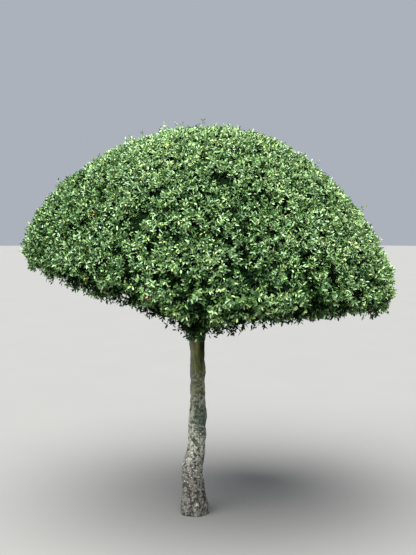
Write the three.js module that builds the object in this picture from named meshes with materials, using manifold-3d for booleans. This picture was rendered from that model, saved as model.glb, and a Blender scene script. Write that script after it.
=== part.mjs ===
// A standard topiary: an evergreen tree clipped to a dome on a clear stem, rooted in the ground.
// The unit is the millimetre, +Z is up, +X is the viewer's right and +Y points away from the viewer.
// The origin is the middle of the flat cut that ends the trunk at ground level.
import * as THREE from "three";
import { mergeVertices } from "three/addons/utils/BufferGeometryUtils.js";
import { ConvexGeometry } from "three/addons/geometries/ConvexGeometry.js";
import Module from "manifold-3d";

const wasm = await Module();
wasm.setup();

// Driving sizes of the trunk
const FORK_HEIGHT = 1000; // where the trunk ends and the boughs spring
const TRUNK_STATIONS = [
  // height, radius, how far the middle lies to the right
  [0, 79, 0],
  [70, 70, 0],
  [180, 58, -6],
  [250, 54, -8],
  [320, 48, 6],
  [520, 45, 17],
  [600, 37, 18],
  [860, 35, 16],
  [FORK_HEIGHT, 50, 15],
];
const TRUNK_SIDES = 24;
const TRUNK_RINGS = 28;
const ROOT_LOBES = 5;
const ROOT_LOBE_DEPTH = 0.13; // share of the radius, at the ground
const ROOT_LOBE_TURN = 0.6; // radians
const FLARE_HEIGHT = 160;

// Driving sizes of the crown
const AXIS_X = 80; // the crown hangs a little to the right of the trunk's foot
const TOP_HEIGHT = 2050;
const CROWN_RADIUS = 950;
const SPREAD_POWER = 1.86; // the dome's section is this superellipse, a little slimmer than an ellipse
const RISE_POWER = 1.7;
const LOWER_EDGE = 1112; // height of the crown's lower edge on the right
const LEFT_LIFT = 200; // the lower edge climbs by this much to the left
const LIFT_SOFTNESS = 0.03; // how gently that climb begins
const FRINGE_DROP = 46; // the lower edge hangs lower where it faces the viewer
const FRINGE_WIDTH = 0.25; // share of the radius
const FRINGE_SHIFT = 0.06; // share of the radius that its middle lies to the left
const EDGE_DROP = 95; // the widest line lies this far above the lower edge
const EDGE_TURN_IN = 140; // how far the rounded edge turns in under the widest line
const HOLLOW_RADIUS = 700; // the leafless hollow under the crown, where the boughs run
const HOLLOW_TOP = 1610;
const SKIN_DEPTH = 50; // the core lies this far under the clipped skin
const EDGE_DEPTH = 30; // and this far above the lower edge
const CORE_SIDES = 28;
const DOME_ROWS = 9;
const EDGE_ROWS = 2;
const HOLLOW_ROWS = 5;

// Driving sizes of the boughs
const BOUGHS = [
  // name, compass angle seen from above, in degrees from the viewer's right
  ["right", 12],
  ["back_right", 74],
  ["back_left", 129],
  ["left", 187],
  ["front_left", 244],
  ["front_right", 311],
];
const BOUGH_BASE_RADIUS = 15.5;
const BOUGH_TIP_RADIUS = 9;
const BOUGH_REACH = 470; // where a bough meets the crown, from the crown's axis
const BOUGH_FOOT = 33; // where a bough's middle leaves the fork, from the fork's middle
const BOUGH_BEND = 200; // how far out a bough starts to lean over
const BOUGH_STEEPNESS = 1.15; // height gained before that for each millimetre outwards
const LIMB_BASE_RADIUS = 9.5;
const LIMB_TIP_RADIUS = 6;
const LIMB_START = 0.42; // share of the bough's length where its side limb springs
const LIMB_REACH = 655; // where a side limb meets the crown, from the crown's axis
const LIMB_SWING = 0.42; // radians that the side limb turns away from its bough
const LIMB_SAG = 45;
const LEADER_BASE_RADIUS = 17;
const LEADER_TIP_RADIUS = 10;
const LEADER_TIP = [65, 12, 1520];
const LEADER_SWAY = 18;
const LIMB_SIDES = 8;
const LIMB_RINGS = 7;
const PAST_THE_CEILING = 70; // a limb is drawn this far into the core before it is cut off there

// Driving sizes of the foliage
const SEED = 20417;
const BRANCHINGS = 42; // inner branchings, from which the twigs spring
const BRANCHING_DEPTH = 190;
const HEART_DEPTH = 240; // where the crown's own stem ends
const STEM_BEND = 80;
const STEM_RINGS = 4;
const TWIGS = 132;
const EDGE_TWIGS = 1.7; // twigs stand this many times closer on the rounded lower edge
const TWIG_FOOT_RADIUS = 11;
const TWIG_TIP_RADIUS = 9;
const TWIG_TIP_DEPTH = 20;
const LAST_BRANCHING = 1.1; // how far round the section the branchings reach: 1 is the widest line
const LAST_TWIG = 1.9; // and the twigs: 2 is the foot of the lower edge
const TURN_JITTER = 0.12; // radians
const AREA_STEPS = 240;
const LEAVES_ON_A_TWIG = 3; // one from each side of the twig
const LEAF_LENGTH = 146; // each leaf stands for a spray of small ones
const LEAF_WIDTH = 86;
const LEAF_THICKNESS = 7; // from the keel up to the flat between the edges
const LEAF_SHOULDER = 0.38; // share of the length where its outline stops widening
const LEAF_TAPER = 0.68; // and where it starts to narrow to the tip
const LEAF_SUNK = 4; // how far past the twig's middle a leaf is rooted
const FIRST_LEAF = 5; // below the twig's tip
const LEAF_SPACING = 9; // along the twig
const MOST_LIFT = 0.42; // how steeply a leaf may stand off the skin, as the sine of the angle
const LEAST_LIFT = -0.12;
const LIFT_STEP = 0.03;
const TRIES = 7;
const FIRST_SIZE = 1.06;
const SHRINK = 0.08; // each further try is smaller by this much
const SIZE_JITTER = 0.08;
const SWING = 0.2; // radians within which the first try's direction falls
const MORE_SWING = 0.15; // and how much wider each further try falls

const CLEARANCE = 0.3; // neighbours that meet face to face keep this gap
const GOLDEN_ANGLE = Math.PI * (3 - Math.sqrt(5));
const UP = new THREE.Vector3(0, 0, 1);

const BARK = new THREE.MeshStandardMaterial({ color: 0x6f6d5f, roughness: 0.95, metalness: 0 });
const BOUGH_BARK = new THREE.MeshStandardMaterial({ color: 0x5a5947, roughness: 0.95, metalness: 0 });
const FOLIAGE = new THREE.MeshStandardMaterial({ color: 0x4c7a3c, roughness: 0.55, metalness: 0 });

// A small seeded generator, so that the same plant grows each time
function seeded(seed) {
  let state = seed >>> 0;
  return () => {
    state = (state + 0x6d2b79f5) >>> 0;
    let mixed = Math.imul(state ^ (state >>> 15), 1 | state);
    mixed = (mixed + Math.imul(mixed ^ (mixed >>> 7), 61 | mixed)) ^ mixed;
    return ((mixed ^ (mixed >>> 14)) >>> 0) / 4294967296;
  };
}

// Solids from geometry and back
function toSolid(geometry) {
  const bare = new THREE.BufferGeometry();
  bare.setAttribute("position", geometry.getAttribute("position").clone());
  bare.setIndex(geometry.getIndex());
  const merged = mergeVertices(bare, 1e-3);
  const corners = [];
  const index = merged.index.array;
  for (let i = 0; i < index.length; i += 3) {
    const [a, b, c] = [index[i], index[i + 1], index[i + 2]];
    if (a !== b && b !== c && a !== c) corners.push(a, b, c);
  }
  const mesh = new wasm.Mesh({
    numProp: 3,
    vertProperties: merged.attributes.position.array,
    triVerts: new Uint32Array(corners),
  });
  return new wasm.Manifold(mesh);
}

function toMesh(name, solid, material) {
  const { vertProperties, triVerts } = solid.getMesh();
  const geometry = new THREE.BufferGeometry();
  geometry.setAttribute("position", new THREE.BufferAttribute(vertProperties, 3));
  geometry.setIndex(new THREE.BufferAttribute(triVerts, 1));
  geometry.computeVertexNormals();
  const mesh = new THREE.Mesh(geometry, material);
  mesh.name = name;
  return mesh;
}

// The largest of a solid's separate bodies: loose scraps are dropped
function mainBody(solid) {
  return solid.decompose().reduce((kept, body) => (body.volume() > kept.volume() ? body : kept));
}

function mix(a, b, share) {
  return a + (b - a) * share;
}

// A tapering limb along a curve: a cylinder whose rings are laid on the curve
function limbGeometry(curve, radiusAt, sides, rings) {
  const geometry = new THREE.CylinderGeometry(1, 1, 1, sides, rings);
  const frames = curve.computeFrenetFrames(rings, false);
  const points = Array.from({ length: rings + 1 }, (_, i) => curve.getPointAt(i / rings));
  const position = geometry.getAttribute("position");
  const vertex = new THREE.Vector3();
  for (let i = 0; i < position.count; i++) {
    vertex.fromBufferAttribute(position, i);
    const ring = Math.round((vertex.y + 0.5) * rings);
    const radius = radiusAt(ring / rings);
    const across = frames.binormals[ring].clone().multiplyScalar(vertex.x * radius);
    const up = frames.normals[ring].clone().multiplyScalar(vertex.z * radius);
    vertex.copy(points[ring]).add(across).add(up);
    position.setXYZ(i, vertex.x, vertex.y, vertex.z);
  }
  return geometry;
}

// A smooth line through the trunk's stations, with the radius in place of the depth
const trunkLine = new THREE.CatmullRomCurve3(
  TRUNK_STATIONS.map(([height, radius, shift]) => new THREE.Vector3(shift, radius, height)),
  false,
  "centripetal",
);

// The trunk's radius and shift at a height, found on that line by halving
function trunkAt(height) {
  const halvings = 24;
  let low = 0;
  let high = 1;
  for (let i = 0; i < halvings; i++) {
    const middle = (low + high) / 2;
    if (trunkLine.getPoint(middle).z < height) low = middle;
    else high = middle;
  }
  const found = trunkLine.getPoint((low + high) / 2);
  return { radius: found.y, shift: found.x };
}

function trunkSolid(clearance = 0) {
  const geometry = new THREE.CylinderGeometry(1, 1, 1, TRUNK_SIDES, TRUNK_RINGS);
  geometry.rotateX(Math.PI / 2);
  const position = geometry.getAttribute("position");
  for (let i = 0; i < position.count; i++) {
    const share = position.getZ(i) + 0.5;
    const height = share * FORK_HEIGHT;
    const { radius, shift } = trunkAt(height);
    const angle = Math.atan2(position.getY(i), position.getX(i));
    const flare = Math.max(0, 1 - height / FLARE_HEIGHT);
    const lobe = 1 + ROOT_LOBE_DEPTH * flare * Math.cos(ROOT_LOBES * angle + ROOT_LOBE_TURN);
    const reach = (radius * lobe + clearance) * Math.hypot(position.getX(i), position.getY(i));
    const z = height + (height > FORK_HEIGHT - 1 ? clearance : 0);
    position.setXYZ(i, shift + reach * Math.cos(angle), reach * Math.sin(angle), z);
  }
  return toSolid(geometry);
}

// Height of the crown's lower edge, and of its widest line, in a direction given by its cosine
function lowerEdge(cosine) {
  return LOWER_EDGE + (LEFT_LIFT / 2) * (Math.sqrt(cosine * cosine + LIFT_SOFTNESS) - cosine);
}

function widestLine(cosine) {
  return lowerEdge(cosine) + EDGE_DROP;
}

function fringe(azimuth) {
  const aside = (Math.cos(azimuth) + FRINGE_SHIFT) / FRINGE_WIDTH;
  return Math.sin(azimuth) < 0 ? FRINGE_DROP * Math.exp(-aside * aside) : 0;
}

// A point of the crown's section: along is 0 at the top, 1 at the widest line and 2 at the edge's foot
function section(azimuth, along, depth) {
  const cosine = Math.cos(azimuth);
  const widest = widestLine(cosine);
  const spread = CROWN_RADIUS - depth;
  if (along <= 1) {
    const turn = (along * Math.PI) / 2;
    const rise = TOP_HEIGHT - depth - widest;
    return {
      radius: spread * Math.sin(turn) ** (2 / SPREAD_POWER),
      height: widest + rise * Math.cos(turn) ** (2 / RISE_POWER),
    };
  }
  const turn = ((along - 1) * Math.PI) / 2;
  return {
    radius: spread - EDGE_TURN_IN * (1 - Math.cos(turn)),
    height: widest - (EDGE_DROP + fringe(azimuth) - depth * (EDGE_DEPTH / SKIN_DEPTH)) * Math.sin(turn),
  };
}

function crownPoint(azimuth, along, depth) {
  const { radius, height } = section(azimuth, along, depth);
  return new THREE.Vector3(AXIS_X + radius * Math.cos(azimuth), radius * Math.sin(azimuth), height);
}

// Height of the hollow's ceiling over a point that lies this far from the crown's axis
function hollowCeiling(radius, cosine) {
  const foot = lowerEdge(cosine);
  const share = Math.min(1, radius / HOLLOW_RADIUS);
  return foot + (HOLLOW_TOP - foot) * Math.sqrt(1 - share * share);
}

// The core's surface in rows: down the dome, round its lower edge and up the inside of the hollow
function corePoint(row, azimuth, clearance) {
  const edgeEnd = DOME_ROWS + EDGE_ROWS;
  if (row <= DOME_ROWS) return crownPoint(azimuth, row / DOME_ROWS, SKIN_DEPTH);
  if (row <= edgeEnd) return crownPoint(azimuth, 1 + (row - DOME_ROWS) / EDGE_ROWS, SKIN_DEPTH);
  const turn = ((row - edgeEnd - 1) / (HOLLOW_ROWS - 1)) * (Math.PI / 2);
  const radius = (HOLLOW_RADIUS - clearance) * Math.cos(turn);
  const foot = lowerEdge(Math.cos(azimuth)) + EDGE_DEPTH;
  const height = foot + (HOLLOW_TOP - foot) * Math.sin(turn) - clearance;
  return new THREE.Vector3(AXIS_X + radius * Math.cos(azimuth), radius * Math.sin(azimuth), height);
}

// The core: a solid of revolution whose rows are moved to the crown's own shape
function coreSolid(clearance = 0) {
  const rows = DOME_ROWS + EDGE_ROWS + HOLLOW_ROWS;
  const onAxis = (row) => row === 0 || row === rows;
  const profile = Array.from({ length: rows + 1 }, (_, row) => new THREE.Vector2(onAxis(row) ? 0 : 1, row));
  const geometry = new THREE.LatheGeometry(profile, CORE_SIDES);
  geometry.rotateX(Math.PI / 2);
  const position = geometry.getAttribute("position");
  for (let i = 0; i < position.count; i++) {
    const row = rows - Math.round(position.getZ(i));
    const azimuth = onAxis(row) ? 0 : Math.atan2(position.getY(i), position.getX(i));
    const point = corePoint(row, azimuth, clearance);
    position.setXYZ(i, point.x, point.y, point.z);
  }
  return toSolid(geometry);
}

// Boughs: each leaves the fork steeply, then leans out to where it meets the crown
function forkMiddle() {
  return new THREE.Vector3(trunkAt(FORK_HEIGHT).shift, 0, FORK_HEIGHT);
}

// A point just above the hollow's ceiling
function abovePoint(azimuth, radius) {
  const height = hollowCeiling(radius, Math.cos(azimuth)) + PAST_THE_CEILING;
  return new THREE.Vector3(AXIS_X + radius * Math.cos(azimuth), radius * Math.sin(azimuth), height);
}

function boughCurve(azimuth) {
  const out = new THREE.Vector3(Math.cos(azimuth), Math.sin(azimuth), 0);
  const foot = forkMiddle().addScaledVector(out, BOUGH_FOOT);
  foot.z -= BOUGH_FOOT;
  const tip = abovePoint(azimuth, BOUGH_REACH);
  const bend = foot.clone().addScaledVector(out, BOUGH_BEND);
  bend.z += BOUGH_BEND * BOUGH_STEEPNESS;
  return new THREE.QuadraticBezierCurve3(foot, bend, tip);
}

function boughSolid(azimuth, clearance = 0) {
  const radiusAt = (share) => mix(BOUGH_BASE_RADIUS, BOUGH_TIP_RADIUS, share) + clearance;
  return toSolid(limbGeometry(boughCurve(azimuth), radiusAt, LIMB_SIDES, LIMB_RINGS));
}

// A side limb springs from its bough and sags a little on its way to the crown's lower part
function sideLimbSolid(azimuth, side) {
  const start = boughCurve(azimuth).getPointAt(LIMB_START);
  const tip = abovePoint(azimuth + side * LIMB_SWING, LIMB_REACH);
  const bend = start.clone().lerp(tip, 0.5).addScaledVector(UP, -LIMB_SAG);
  const curve = new THREE.QuadraticBezierCurve3(start, bend, tip);
  const radiusAt = (share) => mix(LIMB_BASE_RADIUS, LIMB_TIP_RADIUS, share);
  return toSolid(limbGeometry(curve, radiusAt, LIMB_SIDES, LIMB_RINGS));
}

function leaderCurve() {
  const foot = forkMiddle().addScaledVector(UP, -LEADER_BASE_RADIUS);
  const tip = new THREE.Vector3(...LEADER_TIP);
  const bend = foot.clone().lerp(tip, 0.5);
  bend.x -= LEADER_SWAY;
  return new THREE.QuadraticBezierCurve3(foot, bend, tip);
}

function leaderSolid() {
  const radiusAt = (share) => mix(LEADER_BASE_RADIUS, LEADER_TIP_RADIUS, share);
  return toSolid(limbGeometry(leaderCurve(), radiusAt, LIMB_SIDES, LIMB_RINGS));
}

// Evenly spread places on the crown's skin, in the order of a sunflower's seeds, from the top down
function skinPlaces(count, random, lastAlong) {
  const areas = [0];
  const alongAt = (step) => (step / AREA_STEPS) * lastAlong;
  for (let i = 1; i <= AREA_STEPS; i++) {
    const before = section(Math.PI / 2, alongAt(i - 1), 0);
    const after = section(Math.PI / 2, alongAt(i), 0);
    const length = Math.hypot(after.radius - before.radius, after.height - before.height);
    const closeness = alongAt(i) > 1 ? EDGE_TWIGS : 1;
    areas.push(areas[i - 1] + closeness * length * (after.radius + before.radius));
  }
  return Array.from({ length: count }, (_, i) => {
    const wanted = ((i + random()) / count) * areas[AREA_STEPS];
    const step = areas.findIndex((area) => area > wanted);
    const share = (wanted - areas[step - 1]) / (areas[step] - areas[step - 1]);
    const azimuth = i * GOLDEN_ANGLE + (random() - 0.5) * TURN_JITTER;
    return { azimuth, along: alongAt(step - 1 + share) };
  });
}

function nearest(places, point) {
  return places.reduce((kept, place) => (place.distanceTo(point) < kept.distanceTo(point) ? place : kept));
}

// True if a point lies within the clipped shape and out of the hollow where the limbs run
function inCrown(point) {
  const x = point.x - AXIS_X;
  const radius = Math.hypot(x, point.y);
  const cosine = radius ? x / radius : 0;
  const widest = widestLine(cosine);
  if (point.z < hollowCeiling(radius, cosine) && radius < HOLLOW_RADIUS) return false;
  if (point.z >= widest) {
    const rise = (point.z - widest) / (TOP_HEIGHT - widest);
    return (radius / CROWN_RADIUS) ** SPREAD_POWER + rise ** RISE_POWER <= 1;
  }
  const drop = EDGE_DROP + fringe(Math.atan2(point.y, x));
  const share = (widest - point.z) / drop;
  return share <= 1 && radius <= CROWN_RADIUS - EDGE_TURN_IN * (1 - Math.sqrt(1 - share * share));
}

// A straight three-sided twig, one of whose sides faces the given way
function twigSolid(from, to, sideFacing) {
  const line = to.clone().sub(from);
  const sides = 3;
  const geometry = new THREE.CylinderGeometry(TWIG_TIP_RADIUS, TWIG_FOOT_RADIUS, line.length(), sides, 1);
  geometry.translate(0, line.length() / 2, 0);
  geometry.rotateY(Math.PI);
  const along = line.normalize();
  const across = new THREE.Vector3().crossVectors(along, sideFacing).normalize();
  const out = new THREE.Vector3().crossVectors(across, along);
  geometry.applyMatrix4(new THREE.Matrix4().makeBasis(across, along, out).setPosition(from));
  return toSolid(geometry);
}

// A leaf of eight faces, keeled under its midrib, with its root at the origin and its tip along +Y
function leafGeometry(size) {
  const half = (LEAF_WIDTH / 2) * size;
  const length = LEAF_LENGTH * size;
  const corner = (side, share, height) => new THREE.Vector3(side * half, share * length - LEAF_SUNK, height);
  const [root, tip] = [corner(0, 0, 0), corner(0, 1, 0)];
  const [left, right] = [-1, 1].map((side) => [
    corner(side, LEAF_SHOULDER, LEAF_THICKNESS),
    corner(side, LEAF_TAPER, LEAF_THICKNESS),
  ]);
  return new ConvexGeometry([root, tip, ...left, ...right]);
}

function leafAt(root, heading, facing, size) {
  const geometry = leafGeometry(size);
  const across = new THREE.Vector3().crossVectors(heading, facing).normalize();
  const normal = new THREE.Vector3().crossVectors(across, heading).normalize();
  geometry.applyMatrix4(new THREE.Matrix4().makeBasis(across, heading, normal).setPosition(root));
  return geometry;
}

// True if every corner of a leaf lies within the clipped shape
function fits(geometry) {
  const position = geometry.getAttribute("position");
  const point = new THREE.Vector3();
  for (let i = 0; i < position.count; i++) {
    if (!inCrown(point.fromBufferAttribute(position, i))) return false;
  }
  return true;
}

// True if a leaf crosses none of the leaves that stand already
function clearOf(leaf, others) {
  return others.every(({ middle, solid }) => {
    return middle.distanceTo(leaf.middle) > LEAF_LENGTH || solid.intersect(leaf.solid).isEmpty();
  });
}

// The way that the clipped skin faces at a place
function skinFacing({ azimuth, along }) {
  const step = 0.02;
  const here = crownPoint(azimuth, along, 0);
  const onwards = crownPoint(azimuth, along + step, 0).sub(here);
  const sideways = crownPoint(azimuth + step, along, 0).sub(here);
  return sideways.cross(onwards).normalize().negate();
}

// A leaf that runs from its root under the skin and rises until its tip touches the skin
function settledLeaf(root, facing, out, size) {
  for (let lift = MOST_LIFT; lift > LEAST_LIFT; lift -= LIFT_STEP) {
    const heading = facing.clone().multiplyScalar(lift).addScaledVector(out, Math.sqrt(1 - lift * lift));
    const geometry = leafAt(root, heading, facing, size);
    const middle = root.clone().addScaledVector(heading, (LEAF_LENGTH * size) / 2);
    if (fits(geometry)) return { solid: toSolid(geometry), middle };
  }
  return null;
}

// The leaves near a twig's tip, one from each side of it: a leaf that would leave the crown or cross
// another is tried again, turned and smaller, and is then skipped
function growLeaves(from, tip, facing, out, random, leaves) {
  const axis = tip.clone().sub(from).normalize();
  const before = leaves.length;
  for (let k = 0; k < LEAVES_ON_A_TWIG; k++) {
    const root = tip.clone().addScaledVector(axis, -FIRST_LEAF - LEAF_SPACING * k);
    for (let attempt = 0; attempt < TRIES; attempt++) {
      const swing = (random() - 0.5) * (SWING + MORE_SWING * attempt);
      const turn = (k * Math.PI * 2) / LEAVES_ON_A_TWIG + swing;
      const size = FIRST_SIZE - SHRINK * attempt + SIZE_JITTER * (random() - 0.5);
      const leaf = settledLeaf(root, facing, out.clone().applyAxisAngle(facing, turn), size);
      if (leaf && clearOf(leaf, leaves)) {
        leaves.push(leaf);
        break;
      }
    }
  }
  return leaves.length > before;
}

// The crown's own stem goes on from the leader's tip, up to the heart
function stemSolid(heart) {
  const leader = leaderCurve();
  const heading = leader.getTangent(1);
  const foot = leader.getPoint(1).addScaledVector(heading, CLEARANCE);
  const bend = foot.clone().addScaledVector(heading, STEM_BEND);
  const curve = new THREE.QuadraticBezierCurve3(foot, bend, heart);
  return toSolid(limbGeometry(curve, () => LEADER_TIP_RADIUS, LIMB_SIDES, STEM_RINGS));
}

// The crown: one stem branches inside the core, and its twigs stand out of the core with their leaves.
// Each branching and each twig springs from the nearest branching that is there before it.
function crownSolid() {
  const random = seeded(SEED);
  const heart = crownPoint(0, 0, HEART_DEPTH);
  const parts = [coreSolid(), stemSolid(heart)];
  const branchings = [heart];
  skinPlaces(BRANCHINGS, random, LAST_BRANCHING).forEach(({ azimuth, along }) => {
    const place = crownPoint(azimuth, along, BRANCHING_DEPTH);
    parts.push(twigSolid(nearest(branchings, place), place, UP));
    branchings.push(place);
  });
  const leaves = [];
  skinPlaces(TWIGS, random, LAST_TWIG).forEach((place) => {
    const tip = crownPoint(place.azimuth, place.along, TWIG_TIP_DEPTH);
    const foot = nearest(branchings, tip);
    const facing = skinFacing(place);
    const out = UP.clone().cross(facing).normalize().applyAxisAngle(facing, random() * Math.PI * 2);
    if (growLeaves(foot, tip, facing, out, random, leaves)) parts.push(twigSolid(foot, tip, out));
  });
  parts.push(...leaves.map((leaf) => leaf.solid));
  return mainBody(wasm.Manifold.union(parts));
}

const tree = new THREE.Group();
const trunkHold = trunkSolid(CLEARANCE);
const coreHold = coreSolid(CLEARANCE);
tree.add(toMesh("trunk", trunkSolid(), BARK));
tree.add(toMesh("leader", leaderSolid().subtract(trunkHold), BOUGH_BARK));
BOUGHS.forEach(([name, degrees], i) => {
  const azimuth = THREE.MathUtils.degToRad(degrees);
  const side = i % 2 ? -1 : 1;
  const bough = boughSolid(azimuth).subtract(trunkHold).subtract(coreHold);
  const sideLimb = sideLimbSolid(azimuth, side).subtract(boughSolid(azimuth, CLEARANCE)).subtract(coreHold);
  tree.add(toMesh(`bough_${name}`, mainBody(bough), BOUGH_BARK));
  tree.add(toMesh(`side_limb_${name}`, mainBody(sideLimb), BOUGH_BARK));
});
tree.add(toMesh("crown", crownSolid(), FOLIAGE));

export default tree;
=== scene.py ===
# A clipped evergreen standard: a broad dome of small glossy leaves on a clear, knobbly trunk.
# Lengths are in metres, +Z is up, +X is the viewer's right and +Y points away from the viewer.
# Compass angles are seen from above and count from the viewer's right.
import math

import bpy
import numpy as np
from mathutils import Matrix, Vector, kdtree, noise


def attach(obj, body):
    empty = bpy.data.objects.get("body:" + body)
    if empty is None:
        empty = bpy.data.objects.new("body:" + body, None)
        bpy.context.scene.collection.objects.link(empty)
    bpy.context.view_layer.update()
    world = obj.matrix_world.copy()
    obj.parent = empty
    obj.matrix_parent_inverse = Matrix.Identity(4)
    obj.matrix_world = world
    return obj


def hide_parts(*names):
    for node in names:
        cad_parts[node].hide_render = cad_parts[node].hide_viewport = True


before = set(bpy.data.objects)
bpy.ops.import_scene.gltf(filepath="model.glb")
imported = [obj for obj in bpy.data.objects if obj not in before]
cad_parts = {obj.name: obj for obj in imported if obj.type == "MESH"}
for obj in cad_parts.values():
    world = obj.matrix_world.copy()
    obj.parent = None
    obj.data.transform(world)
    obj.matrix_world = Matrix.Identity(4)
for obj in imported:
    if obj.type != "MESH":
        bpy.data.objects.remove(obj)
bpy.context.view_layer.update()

GOLDEN_ANGLE = math.pi * (3 - math.sqrt(5))
UP = np.array((0.0, 0.0, 1.0))
SIDEWAYS = (1.0, 0, 0)
STEEP = 0.8  # a heading is steep if it climbs by more than this share of its length
SAME_PLACE = 1e-6

# Trunk
FORK_HEIGHT = 1.0
TRUNK_STATIONS = (
    # height, radius, how far the middle lies to the right
    (0.0, 0.068, 0.0),
    (0.035, 0.073, 0.0),
    (0.075, 0.069, 0.0),
    (0.12, 0.061, -0.003),
    (0.18, 0.0575, -0.006),
    (0.25, 0.054, -0.008),
    (0.32, 0.048, 0.006),
    (0.52, 0.045, 0.017),
    (0.6, 0.04, 0.018),
    (0.73, 0.0395, 0.018),
    (0.86, 0.037, 0.016),
    (FORK_HEIGHT, 0.05, 0.015),
)
TRUNK_SIDES = 24
TRUNK_RINGS = 50
BELOW_GROUND = 0.02  # the trunk is modelled this much too deep, then cut flat
ROOT_LOBES = 5
ROOT_LOBE_TURN = 0.6  # radians
TOE_REACH = 0.007  # how far each lobe's toe stands out
TOE_SPREAD = 0.05
KNOB_SPREAD = 0.035
KNOBS = (
    # height, compass angle in degrees, how far it stands out
    (0.25, 196, 0.007),
    (0.31, 150, 0.006),
    (0.53, 10, 0.006),
    (0.53, 230, 0.004),
    (0.76, 345, 0.006),
    (0.76, 175, 0.003),
    (0.86, 8, 0.004),
    (0.4, 95, 0.006),
    (0.66, 80, 0.005),
)
LOW = "low"  # the vertex group of the relief that is stronger low down
FORK_RELIEF = 0.3  # the share of it that is left at the fork
TRUNK_RELIEF = (
    # pattern, size of its lumps, their height, how far they are drawn out along the grain, group
    ("CLOUDS", 0.07, 0.012, 1, ""),
    ("CLOUDS", 0.026, 0.009, 1, LOW),
    ("CLOUDS", 0.011, 0.0055, 2.5, LOW),
    ("STUCCI", 0.02, 0.0045, 1, LOW),
)

# Crown
AXIS_X = 0.08  # its middle hangs to the right of the trunk's foot
TOP_HEIGHT = 2.05
CROWN_RADIUS = 0.95
SPREAD_POWER = 1.86  # the dome's section is this superellipse
RISE_POWER = 1.7
LOWER_EDGE = 1.112  # its height on the right
LEFT_LIFT = 0.2  # and how far it climbs to the left
LIFT_SOFTNESS = 0.03
FRINGE_DROP = 0.046  # it hangs lower where it faces the viewer
FRINGE_WIDTH = 0.25  # share of the radius
FRINGE_SHIFT = 0.06  # to the left
EDGE_DROP = 0.095  # from the widest line down to the lower edge
EDGE_TURN_IN = 0.14
HOLLOW_RADIUS = 0.7  # the leafless hollow where the boughs run
HOLLOW_TOP = 1.61
SKIN_DEPTH = 0.05  # a layer this deep lies EDGE_DEPTH above the lower edge
EDGE_DEPTH = 0.03

# Boughs
BOUGHS = (
    # name, compass angle in degrees
    ("right", 12),
    ("back_right", 74),
    ("back_left", 129),
    ("left", 187),
    ("front_left", 244),
    ("front_right", 311),
)
BOUGH_RADII = (0.0155, 0.009)  # at the foot and at the tip
BOUGH_REACH = 0.47  # where a bough meets the crown, from the crown's axis
BOUGH_FOOT = 0.033  # where a bough's middle leaves the fork
BOUGH_BEND = 0.2  # how far out a bough starts to lean over
BOUGH_STEEPNESS = 1.15  # height gained before that, as a share of it
SIDE_LIMB_RADII = (0.0095, 0.006)
LIMB_START = 0.42  # share of the bough's length where its side limb springs
LIMB_REACH = 0.655
LIMB_SWING = 0.42  # radians that it turns away from its bough
LIMB_SAG = 0.045
LEADER_RADII = (0.017, 0.01)
LEADER_TIP = (0.065, 0.012, 1.52)
LEADER_SWAY = 0.018
PAST_THE_CEILING = 0.07  # how far a limb runs on above the hollow
LIMB_SIDES = 12
LIMB_CUTS = 40
CURVE_STEPS = 32
LENGTH_STEPS = 64
FOOT_SLACK = 1e-4
COLLAR_GROWTH = 1.5  # a limb is this many times thicker where it springs
COLLAR_LENGTH = 0.05
LIMB_RELIEF = (
    # pattern, size of its lumps, their height as a share of the limb's radius, how far drawn out
    ("CLOUDS", 0.035, 0.45, 1),
    ("CLOUDS", 0.008, 0.14, 2),
)

# Branching
SEED = 20417
HEART_DEPTH = 0.24  # where the crown's own stem ends, under the skin
# How many, and how deep they end
BRANCHINGS = (42, 0.19)
BRANCHLETS = (800, 0.125)
TWIGS = (3600, 0.07)
SHOOTS = 23000
# How far down the section they reach: 1 is the widest line, 2 the lower edge
LAST_BRANCHING = 1.1
LAST_TWIG = 1.9
LAST_SHOOT = 1.97
EDGE_TWIGS = 1.7  # all of them stand this many times closer on the rounded lower edge
TURN_JITTER = 0.12  # radians
AREA_STEPS = 240
# Where along its parent each may spring, and how stiffly it sets off, as a share of its length
BRANCHING_GROWTH = ((1.0,), 0.45)
BRANCHLET_GROWTH = ((0.6, 0.8, 1.0), 0.4)
TWIG_GROWTH = ((0.5, 0.75, 1.0), 0.4)
SHOOT_GROWTH = ((0.6, 0.8, 1.0), 0.35)
SHOOT_RADIUS = 0.0014
# Radius at the foot and at the tip, sides and rings
BRANCHING_BUILD = (0.0075, 0.0045, 7, 8)
BRANCHLET_BUILD = (0.0042, 0.0028, 5, 5)
TWIG_BUILD = (0.0024, 0.0016, 4, 3)


def unit(vectors):
    """Vectors of length one that point the same ways."""
    return vectors / np.maximum(np.linalg.norm(vectors, axis=-1, keepdims=True), 1e-9)


def mix(a, b, share):
    """From a, at a share of 0, to b, at a share of 1."""
    return a + (b - a) * share


def ramp(values, start, span):
    """0 at the start, rising evenly to 1 a span further on: a span below 0 runs the other way."""
    return np.clip((values - start) / span, 0, 1)


def off_axis(headings):
    """A way well off each heading: up, or to the right where the heading is steep."""
    return np.where(np.abs(headings[..., 2:]) < STEEP, UP, SIDEWAYS)


def squared_to(headings, vectors):
    """The vectors turned to stand square to the headings."""
    return unit(vectors - headings * np.sum(vectors * headings, axis=-1, keepdims=True))


def joined(several):
    """Several sets of courses, or of leaves, as one."""
    kind = type(several[0])
    return kind(*(np.concatenate([getattr(one, part) for one in several]) for part in kind.PARTS))


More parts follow.
